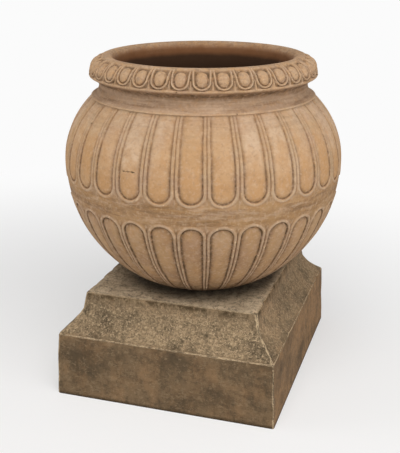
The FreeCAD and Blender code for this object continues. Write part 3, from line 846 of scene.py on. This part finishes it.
def terracotta(colours):
    """Pressed and carved terracotta, dry and unglazed: matt, mottled from the kiln, dirt in each groove."""
    material, tree, space = new_material("terracotta")
    c = colours
    shade = lay_coats(tree, space, solid(c.tan), (
        # kiln mottling, long up and down the pot, and lime bloom in soft patches, most on the pale tongues
        Coat(c.orange, 90, 0.42, 0.66, 0.6, stretch=(1, 0.45)),
        Coat(c.rose, 45, 0.46, 0.66, 0.7, detail=3, stretch=(1, 0.6)),
        Coat(c.bloom, 60, 0.5, 0.7, 0.5, stretch=(1, 0.6)),
        # warmer clay towards the tongues' round ends and on the eggs
        Coat(c.orange, 50, 0.25, 0.6, 1, "ripe", least=0.55),
        Coat(c.bloom, 45, 0.25, 0.65, 0.85, "pale", least=0.2, stretch=(1, 0.5)),
        Coat(c.orange, 24, 0.46, 0.66, 0.55, detail=3),
        # brown handled neck and dull plain band, streaked level round the pot by the wheel
        Coat(c.collar, 40, 0.3, 0.7, 1, "collar", least=0.75, stretch=(0.4, 4)),
        Coat(c.band, 60, 0.3, 0.65, 1, "band", least=0.55, stretch=(0.5, 2)),
        Coat(c.dirt, 30, 0.44, 0.62, 0.65, "band", detail=5, rough=0.65, stretch=(0.25, 2)),
        Coat(c.bloom, 22, 0.5, 0.64, 0.45, "band", detail=5, rough=0.65, stretch=(0.3, 2)),
        Coat(c.dirt, 26, 0.47, 0.64, 0.6, "collar", detail=5, rough=0.65, stretch=(0.25, 3.5)),
        Coat(c.bloom, 20, 0.5, 0.68, 0.4, "collar", stretch=(0.25, 3)),
        # painted shade, darker towards the foot, and a dark painted contact shadow at the foot
        Coat(c.band, 40, 0.3, 0.66, 1, "soil", least=0.6, detail=5, stretch=(1, 0.5)),
        Coat(c.dirt, 45, 0.34, 0.66, 0.65, "soil", least=0.15, detail=6, stretch=(1, 0.5)),
        Coat(c.soot, 40, 1, 1.3, 0.7, "soil", fray=0.5, detail=5),
        # the rim is handled and knocked: blotches of dirt between warm rubbed ones
        Coat(c.orange, 13, 0.46, 0.6, 0.5, "rim", detail=3, rough=0.65),
        Coat(c.dirt, 10, 0.5, 0.64, 0.65, "rim", detail=3, rough=0.7),
        # rubbed raised lines, then dirt and painted shade, soft in the grooves and dark in their bottoms and
        # under the rim
        Coat(c.crest, 14, 0.35, 0.6, 0.9, "crest", least=0.4, detail=6, rough=0.7),
        Coat(c.dirt, 16, 0.5, 1.45, 0.8, "recess", fray=1, rough=0.8),
        Coat(c.soot, 12, 1.5, 1.95, 0.7, "recess", fray=1.5, detail=3, rough=0.85),
        Coat(c.chip, 9, 0.58, 0.66, 0.9, "crest", detail=3, rough=0.8),
        # thin mottled film of dirt, and warmer and paler flecks, all over
        Coat(c.dirt, 18, 0.45, 0.7, 0.16, detail=6, rough=0.65),
        Coat(c.orange, 9, 0.48, 0.68, 0.35, detail=3, rough=0.6),
        Coat(c.bloom, 10, 0.5, 0.7, 0.22, detail=3, rough=0.6),
        # grog and sand under a millimetre across, drawn at 5 mm so that it shows: dark specks and pale ones
        Coat(c.dirt, 5, 0.5, 0.74, 0.25, detail=2),
        Coat(c.bloom, 5.5, 0.5, 0.72, 0.28, detail=2),
        # one short crack
        Coat(c.soot, 7, 1.3, 1.46, 0.9, "crack", fray=1, detail=3, rough=0.8),
        # the throat is bare brown clay, with painted shade that darkens it further down, near black deep
        # inside
        Coat(c.inside, 30, 0.1, 0.5, 1, "inside", fray=0.16),
        Coat(c.hollow, 40, 0.45, 1, 0.8, "inside", fray=0.3),
    ))
    # open pits where grit fell out, in loose clusters
    pits = add(tree, "TexVoronoi", {"Vector": space, "Scale": per_metre(15)})
    pits = add(tree, "MapRange", [pits, 0.06, 0.14, 1, 0])
    cluster = add(tree, "TexNoise", {"Vector": space, "Scale": per_metre(45), "Detail": 3})
    cluster = add(tree, "MapRange", [cluster, 0.62, 0.68])
    pits = add(tree, "Math", [pits, cluster], operation="MULTIPLY")
    shade = add(tree, "Mix", {0: pits, 6: shade, 7: solid(c.soot)}, output=2, data_type="RGBA")

    # the grain that the hand feels, about 2 mm, with the pits sunk in it
    grain = add(tree, "TexNoise", {"Vector": space, "Scale": per_metre(2.2), "Detail": 4})
    grain = add(tree, "Math", [pits, -1.2, grain], operation="MULTIPLY_ADD")
    dry_clay(tree, space, shade, grain, strength=0.5, depth=0.7 * MM, roughness=(0.78, 0.94), gloss=0.25)
    return material


def weathered_terracotta(colours):
    """Coarse terracotta left outdoors: gritty, stained dark by rain and growth, with paler rubbed edges."""
    material, tree, space = new_material("weathered_terracotta")
    c = colours
    shade = lay_coats(tree, space, solid(c.stone), (
        # uneven firing, redder on the side that rain spares
        Coat(c.rust, 110, 0.46, 0.7, 0.55, detail=6, rough=0.6),
        Coat(c.rust, 35, 0.45, 0.68, 0.35, detail=5, stretch=(1.3, 0.6)),
        Coat(c.rust, 60, 0.3, 0.62, 1, "warm", least=0.65, detail=5),
        # rough pale clay in the moulding
        Coat(c.grit, 40, 0.3, 0.55, 1, "moulding", least=0.75, detail=5),
        # broad stains and softer ones that rain has drawn down
        Coat(c.lichen, 95, 0.4, 0.76, 0.75, detail=7, rough=0.6, stretch=(0.8, 1.4)),
        Coat(c.lichen, 30, 0.46, 0.7, 0.5, detail=7, rough=0.65, stretch=(1.3, 0.7)),
        Coat(c.lichen, 41, 0.52, 0.66, 0.55, "moulding", detail=7, rough=0.65),
        # painted light on the top, which lies in the shade of the pot's belly, and a painted shadow round
        # the pot's foot
        Coat(c.dust, 40, 0.3, 0.6, 0.85, "top", least=0.5, detail=5),
        Coat(c.lichen, 60, 0.2, 0.6, 0.9, "damp", least=0.55),
        # sand and grit of 1 to 2 mm, drawn in clusters of 10 mm so that it shows
        Coat(c.lichen, 10, 0.45, 0.66, 0.38, detail=3, rough=0.95, stretch=(0.8, 1.1)),
        Coat(c.grit, 9, 0.5, 0.68, 0.32, detail=3, rough=0.95, stretch=(0.8, 1.1)),
        # rougher in the moulding, with open pits, and on the top
        Coat(c.lichen, 4.6, 0.46, 0.62, 0.55, "moulding", detail=2, rough=0.95),
        Coat(c.arris, 5, 0.5, 0.66, 0.68, "moulding", detail=2, rough=0.95),
        Coat(c.lichen, 8, 0.62, 0.68, 0.8, "moulding", detail=5, rough=0.75),
        Coat(c.lichen, 9, 0.48, 0.62, 0.55, "top", detail=3, rough=0.9),
        # painted shade under the top's edge, and a painted shadow along the ground
        Coat(c.soot, 18, 0.42, 0.58, 0.85, "drip", detail=6, rough=0.75),
        Coat(c.soot, 30, 0.2, 0.6, 0.95, "foot", least=0.6),
        # rubbed edges, broken by chips and dirt
        Coat(c.arris, 34, 1.04, 1.45, 0.5, "arris", fray=1, detail=6, rough=0.85),
        Coat(c.arris, 13, 1.3, 1.5, 0.8, "arris", fray=1.3, detail=3, rough=0.85),
        Coat(c.lichen, 15, 1.4, 1.6, 0.8, "arris", fray=1.2, rough=0.85),
    ))
    # pitted and gritty to the hand: grit of 3 mm on waves of 9 mm
    grit = add(tree, "TexNoise", {"Vector": space, "Scale": per_metre(3.5), "Detail": 5, "Roughness": 0.7})
    waves = add(tree, "TexNoise", {"Vector": space, "Scale": per_metre(9), "Detail": 4})
    grain = add(tree, "Math", [grit, waves], operation="ADD")
    dry_clay(tree, space, shade, grain, strength=0.9, depth=2 * MM, roughness=(0.84, 0.96), gloss=0.2)
    return material


def seen_rays(tree):
    """1 for rays from the camera, also by way of a mirror or glass, and 0 for rays of light."""
    seen = add(tree, "LightPath", output="Is Camera Ray")
    for ray in ("Is Glossy Ray", "Is Transmission Ray"):
        other = add(tree, "LightPath", output=ray)
        seen = add(tree, "Math", [seen, other], operation="MAXIMUM")
    return seen


def studio_paper(rgb):
    """Matt white paper. It runs out to plain white behind the object and keeps the shadow near it."""
    material, tree, space = new_material("studio_paper")
    lit = add(tree, "BsdfDiffuse", {"Color": solid(rgb)})
    white = add(tree, "Emission", {"Color": solid(linear(PAPER_WHITE)), "Strength": 1.0})
    # it is darkest round a place a little in front of the object
    away = add(tree, "VectorMath", [space, (-0.25, -0.25, 0)], output="Value", operation="DISTANCE")
    far = add(tree, "MapRange", [away, 0.55, 1.7, 0.42, 1], interpolation_type="SMOOTHSTEP")
    share = add(tree, "Math", [far, seen_rays(tree)], operation="MULTIPLY")
    surface = add(tree, "MixShader", [share, lit, white])
    add(tree, "OutputMaterial", {"Surface": surface})
    return material


# Stage

def lamp(name, power, size, place):
    """A soft round lamp, turned to the middle of the object."""
    light = bpy.data.lights.new(name, "AREA")
    light.energy = power
    light.shape = "DISK"
    light.size = size
    item = bpy.data.objects.new(name, light)
    item.location = place
    item.rotation_euler = (Vector((0, 0, 0.3)) - Vector(place)).to_track_quat("-Z", "Y").to_euler()
    bpy.context.collection.objects.link(item)


class CACHEPOT_OT_pot(bpy.types.Operator):
    """Builds the carved pot in place of its plain solid"""

    bl_idname = "cachepot.pot"
    bl_label = "Pot"

    def execute(self, context):
        piece = Pot(context.scene.pot_sizes).build(terracotta(context.scene.clay_colours))
        piece.location.z = POT_LOW[2]
        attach(piece, "pot")
        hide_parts("pot")
        return {"FINISHED"}


class CACHEPOT_OT_plinth(bpy.types.Operator):
    """Builds the worn plinth in place of its plain solid"""

    bl_idname = "cachepot.plinth"
    bl_label = "Plinth"

    def execute(self, context):
        piece = Plinth(context.scene.plinth_sizes).build(weathered_terracotta(context.scene.clay_colours))
        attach(piece, "plinth")
        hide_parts("plinth")
        return {"FINISHED"}


class CACHEPOT_OT_stage(bpy.types.Operator):
    """Sets the floor, the lamps, the surrounding light and the camera"""

    bl_idname = "cachepot.stage"
    bl_label = "Stage"

    def execute(self, context):
        scene = context.scene
        settings = scene.stage_settings
        mesh = bpy.data.meshes.new("floor")
        mesh.from_pydata([(FLOOR_REACH * x, FLOOR_REACH * y, 0) for x, y in CORNERS], [], [(0, 1, 2, 3)])
        mesh.materials.append(studio_paper(settings.floor))
        floor = bpy.data.objects.new("floor", mesh)
        context.collection.objects.link(floor)

        lamp("overhead_lamp", settings.key, 2.6, (0.6, -1.6, 2.6))
        lamp("left_lamp", settings.fill, 1.8, (-2.4, -0.9, 0.9))
        lamp("right_lamp", settings.fill, 1.8, (2.4, -0.8, 1))

        world = bpy.data.worlds.new("studio")
        scene.world = world
        world.use_nodes = True
        tree = world.node_tree
        tree.nodes.clear()
        light = add(tree, "Background", {"Color": (1, 1, 1, 1), "Strength": AMBIENT})
        white = add(tree, "Background", {"Color": solid(linear(PAPER_WHITE)), "Strength": 1.0})
        surface = add(tree, "MixShader", [seen_rays(tree), light, white])
        add(tree, "OutputWorld", {"Surface": surface})

        camera = bpy.data.cameras.new("camera")
        camera.lens = settings.lens
        item = bpy.data.objects.new("camera", camera)
        item.location = (0.5057, -1.6190, 0.9061)
        item.rotation_euler = (radians(90 - 19.388), 0, radians(17.572))
        context.collection.objects.link(item)
        scene.camera = item
        scene.view_settings.view_transform = "Standard"
        return {"FINISHED"}


class CACHEPOT_PT_panel(bpy.types.Panel):
    """Lists the pieces of the cachepot and their sizes"""

    bl_idname = "CACHEPOT_PT_panel"
    bl_label = "Cachepot"
    bl_space_type = "VIEW_3D"
    bl_region_type = "UI"
    bl_category = "Cachepot"

    def draw(self, context):
        for name in ("plinth", "pot", "stage"):
            self.layout.operator(f"cachepot.{name}")
        for group in GROUPS:
            settings = getattr(context.scene, group)
            box = self.layout.box()
            for name in settings.__annotations__:
                box.prop(settings, name, text=name.replace("_", " ").capitalize())


GROUPS = {"pot_sizes": PotSizes, "plinth_sizes": PlinthSizes, "clay_colours": ClayColours,
          "stage_settings": StageSettings}
CLASSES = (*GROUPS.values(), CACHEPOT_OT_pot, CACHEPOT_OT_plinth, CACHEPOT_OT_stage, CACHEPOT_PT_panel)


def register():
    for item in CLASSES:
        bpy.utils.register_class(item)
    for name, group in GROUPS.items():
        setattr(bpy.types.Scene, name, PointerProperty(type=group))


def unregister():
    for name in GROUPS:
        delattr(bpy.types.Scene, name)
    for item in reversed(CLASSES):
        bpy.utils.unregister_class(item)


def main():
    """Builds the scene."""
    register()
    bpy.ops.cachepot.plinth()
    bpy.ops.cachepot.pot()
    bpy.ops.cachepot.stage()


if __name__ == "__main__":
    main()
